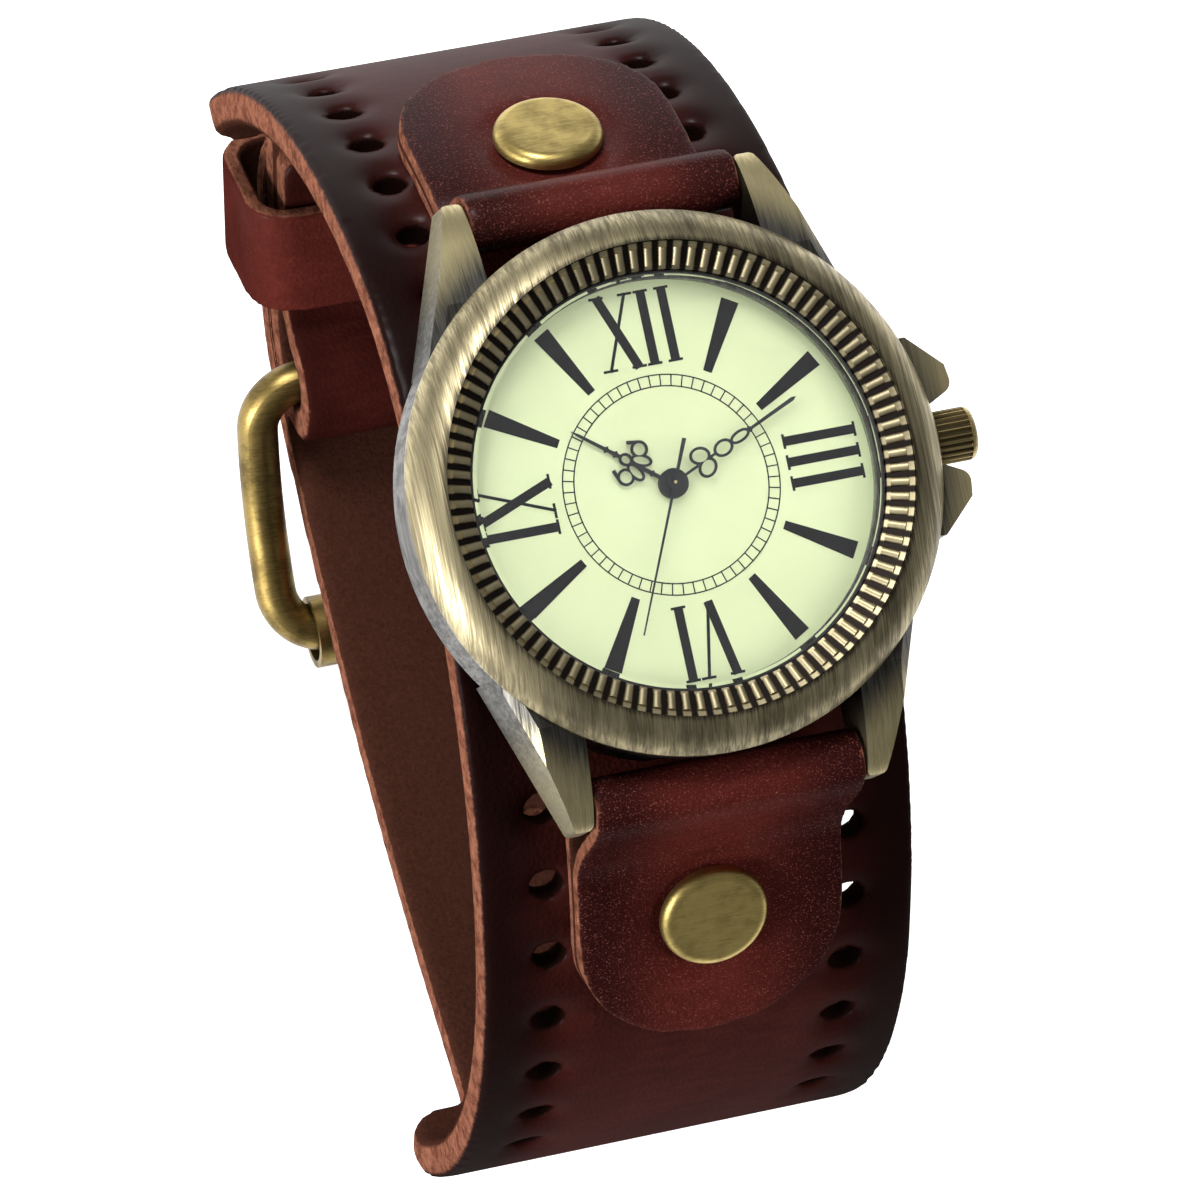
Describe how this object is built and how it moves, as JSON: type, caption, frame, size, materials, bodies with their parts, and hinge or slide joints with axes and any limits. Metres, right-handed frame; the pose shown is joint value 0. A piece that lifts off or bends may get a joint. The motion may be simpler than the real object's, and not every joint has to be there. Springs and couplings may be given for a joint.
{
  "type": "cuff watch",
  "caption": "Round quartz watch on a wide punched leather cuff, held by two riveted tabs, fastened by a roller buckle with a prong and a keeper loop.",
  "frame": {"origin": "centre of the flat outer face of the crystal", "axes": "+Z out of the dial towards the reader, +Y towards twelve o'clock, +X towards three o'clock and the crown. The leather cuff lies below the dial and its buckle is at the lowest point."},
  "size_m": [0.046, 0.0919, 0.0895],
  "materials": {
    "cuff_leather": "dark burgundy brown waxed leather, burnished nearly black towards the edges",
    "tab_leather": "redder waxed leather with a fine grain",
    "rivet_brass": "antique brass, finely scratched",
    "buckle_brass": "antique brass",
    "case_bronze": "antique bronze plating, brushed from twelve to six",
    "steel": "brushed",
    "core_steel": "plain",
    "crystal_glass": "clear flat mineral glass",
    "gasket_rubber": "matte",
    "dial_green": "satin pale green cream",
    "ink_black": "printed ink",
    "hand_black": "gloss blue black",
    "holder_plastic": "plain",
    "plate_brass": "plain",
    "wheel_brass": "plain",
    "magnet_grey": "plain",
    "coil_copper": "enamelled wire",
    "board_green": "lacquered"
  },
  "bodies": {
    "watch": {"cuff_band": "cuff_leather", "upper_tab": "tab_leather", "lower_tab": "tab_leather", "keeper_loop": "tab_leather", "upper_rivet_cap": "rivet_brass", "lower_rivet_cap": "rivet_brass", "upper_rivet_back": "rivet_brass", "lower_rivet_back": "rivet_brass", "case_body": "case_bronze", "bezel_ring": "case_bronze", "reeded_ring": "case_bronze", "crystal": "crystal_glass", "crystal_gasket": "gasket_rubber", "case_back_gasket": "gasket_rubber", "dial_ring": "dial_green", "dial": "dial_green", "dial_markings": "ink_black", "case_back": "steel", "movement_holder": "holder_plastic", "main_plate": "plate_brass", "train_bridge": "plate_brass", "stator": "core_steel", "coil": "coil_copper", "battery": "steel", "battery_clip": "plate_brass", "circuit_board": "board_green", "quartz_can": "steel", "crown_tube": "steel", "upper_bar_tube": "steel", "lower_bar_tube": "steel", "upper_bar_spring": "core_steel", "lower_bar_spring": "core_steel"},
    "buckle": {"buckle_frame": "buckle_brass"},
    "roller": {"buckle_roller": "buckle_brass"},
    "prong": {"buckle_prong": "buckle_brass"},
    "second_work": {"second_wheel": "wheel_brass", "second_hand": "hand_black"},
    "third_work": {"third_wheel": "wheel_brass"},
    "centre_work": {"centre_wheel": "wheel_brass", "minute_hand": "hand_black"},
    "minute_work": {"minute_wheel": "wheel_brass"},
    "hour_work": {"hour_wheel": "wheel_brass", "hour_hand": "hand_black"},
    "intermediate_work": {"intermediate_wheel": "wheel_brass"},
    "motor_rotor": {"rotor": "magnet_grey"},
    "clutch": {"clutch_wheel": "steel"},
    "stem": {"crown": "case_bronze", "winding_stem": "steel", "crown_gasket": "gasket_rubber"},
    "lever": {"setting_lever": "steel"},
    "upper_left_pin": {"upper_bar_pin_left": "steel"},
    "upper_right_pin": {"upper_bar_pin_right": "steel"},
    "lower_left_pin": {"lower_bar_pin_left": "steel"},
    "lower_right_pin": {"lower_bar_pin_right": "steel"}
  },
  "joints": [
    {"name": "buckle_swing", "type": "hinge", "parent": "watch", "child": "buckle", "pos_m": [0, 0.02197, -0.07151], "axis": [1, 0, 0], "range_deg": [0, 12]},
    {"name": "prong_swing", "type": "hinge", "parent": "watch", "child": "prong", "pos_m": [0, 0.02197, -0.07151], "axis": [1, 0, 0], "range_deg": [0, 12]},
    {"name": "roller_spin", "type": "hinge", "parent": "buckle", "child": "roller", "pos_m": [0, 0.00174, -0.08182], "axis": [1, 0, 0], "continuous": true},
    {"name": "second_turn", "type": "hinge", "parent": "watch", "child": "second_work", "pos_m": [0, 0, -0.006], "axis": [0, 0, -1], "continuous": true},
    {"name": "third_turn", "type": "hinge", "parent": "watch", "child": "third_work", "pos_m": [-0.00319, -0.00116, -0.006], "axis": [0, 0, -1], "continuous": true},
    {"name": "centre_turn", "type": "hinge", "parent": "watch", "child": "centre_work", "pos_m": [0, 0, -0.005], "axis": [0, 0, -1], "continuous": true},
    {"name": "minute_work_turn", "type": "hinge", "parent": "watch", "child": "minute_work", "pos_m": [0.001, -0.00173, -0.0041], "axis": [0, 0, -1], "continuous": true},
    {"name": "hour_turn", "type": "hinge", "parent": "watch", "child": "hour_work", "pos_m": [0, 0, -0.0035], "axis": [0, 0, -1], "continuous": true},
    {"name": "intermediate_turn", "type": "hinge", "parent": "watch", "child": "intermediate_work", "pos_m": [0.00168, 0.00291, -0.0065], "axis": [0, 0, -1], "continuous": true},
    {"name": "rotor_turn", "type": "hinge", "parent": "watch", "child": "motor_rotor", "pos_m": [0.00126, 0.00527, -0.006], "axis": [0, 0, -1], "continuous": true},
    {"name": "crown_turn", "type": "hinge", "parent": "watch", "child": "clutch", "pos_m": [0.007, 0, -0.00545], "axis": [1, 0, 0], "continuous": true},
    {"name": "crown_pull", "type": "slide", "parent": "clutch", "child": "stem", "axis": [1, 0, 0], "range_m": [0, 0.001]},
    {"name": "lever_turn", "type": "hinge", "parent": "watch", "child": "lever", "pos_m": [0.00995, -0.0026, -0.0061], "axis": [0, 0, -1], "range_deg": [0, 22.1]},
    {"name": "upper_left_pin_slide", "type": "slide", "parent": "watch", "child": "upper_left_pin", "axis": [1, 0, 0], "range_m": [0, 0.0009], "stiffness_N_per_m": 900, "springref_m": -0.0012, "deforming": ["upper_bar_spring"]},
    {"name": "upper_right_pin_slide", "type": "slide", "parent": "watch", "child": "upper_right_pin", "axis": [-1, 0, 0], "range_m": [0, 0.0009], "stiffness_N_per_m": 900, "springref_m": -0.0012, "deforming": ["upper_bar_spring"]},
    {"name": "lower_left_pin_slide", "type": "slide", "parent": "watch", "child": "lower_left_pin", "axis": [1, 0, 0], "range_m": [0, 0.0009], "stiffness_N_per_m": 900, "springref_m": -0.0012, "deforming": ["lower_bar_spring"]},
    {"name": "lower_right_pin_slide", "type": "slide", "parent": "watch", "child": "lower_right_pin", "axis": [-1, 0, 0], "range_m": [0, 0.0009], "stiffness_N_per_m": 900, "springref_m": -0.0012, "deforming": ["lower_bar_spring"]}
  ],
  "couplings": [
    {"joint": "prong_swing", "follows": "buckle_swing", "ratio": 1},
    {"joint": "third_turn", "follows": "second_turn", "ratio": -0.13333},
    {"joint": "centre_turn", "follows": "second_turn", "ratio": 0.016667},
    {"joint": "minute_work_turn", "follows": "second_turn", "ratio": -0.0055556},
    {"joint": "hour_turn", "follows": "second_turn", "ratio": 0.0013889},
    {"joint": "intermediate_turn", "follows": "second_turn", "ratio": -6},
    {"joint": "rotor_turn", "follows": "second_turn", "ratio": 30},
    {"joint": "lever_turn", "follows": "crown_pull", "rad_per_m": 384.62}
  ]
}
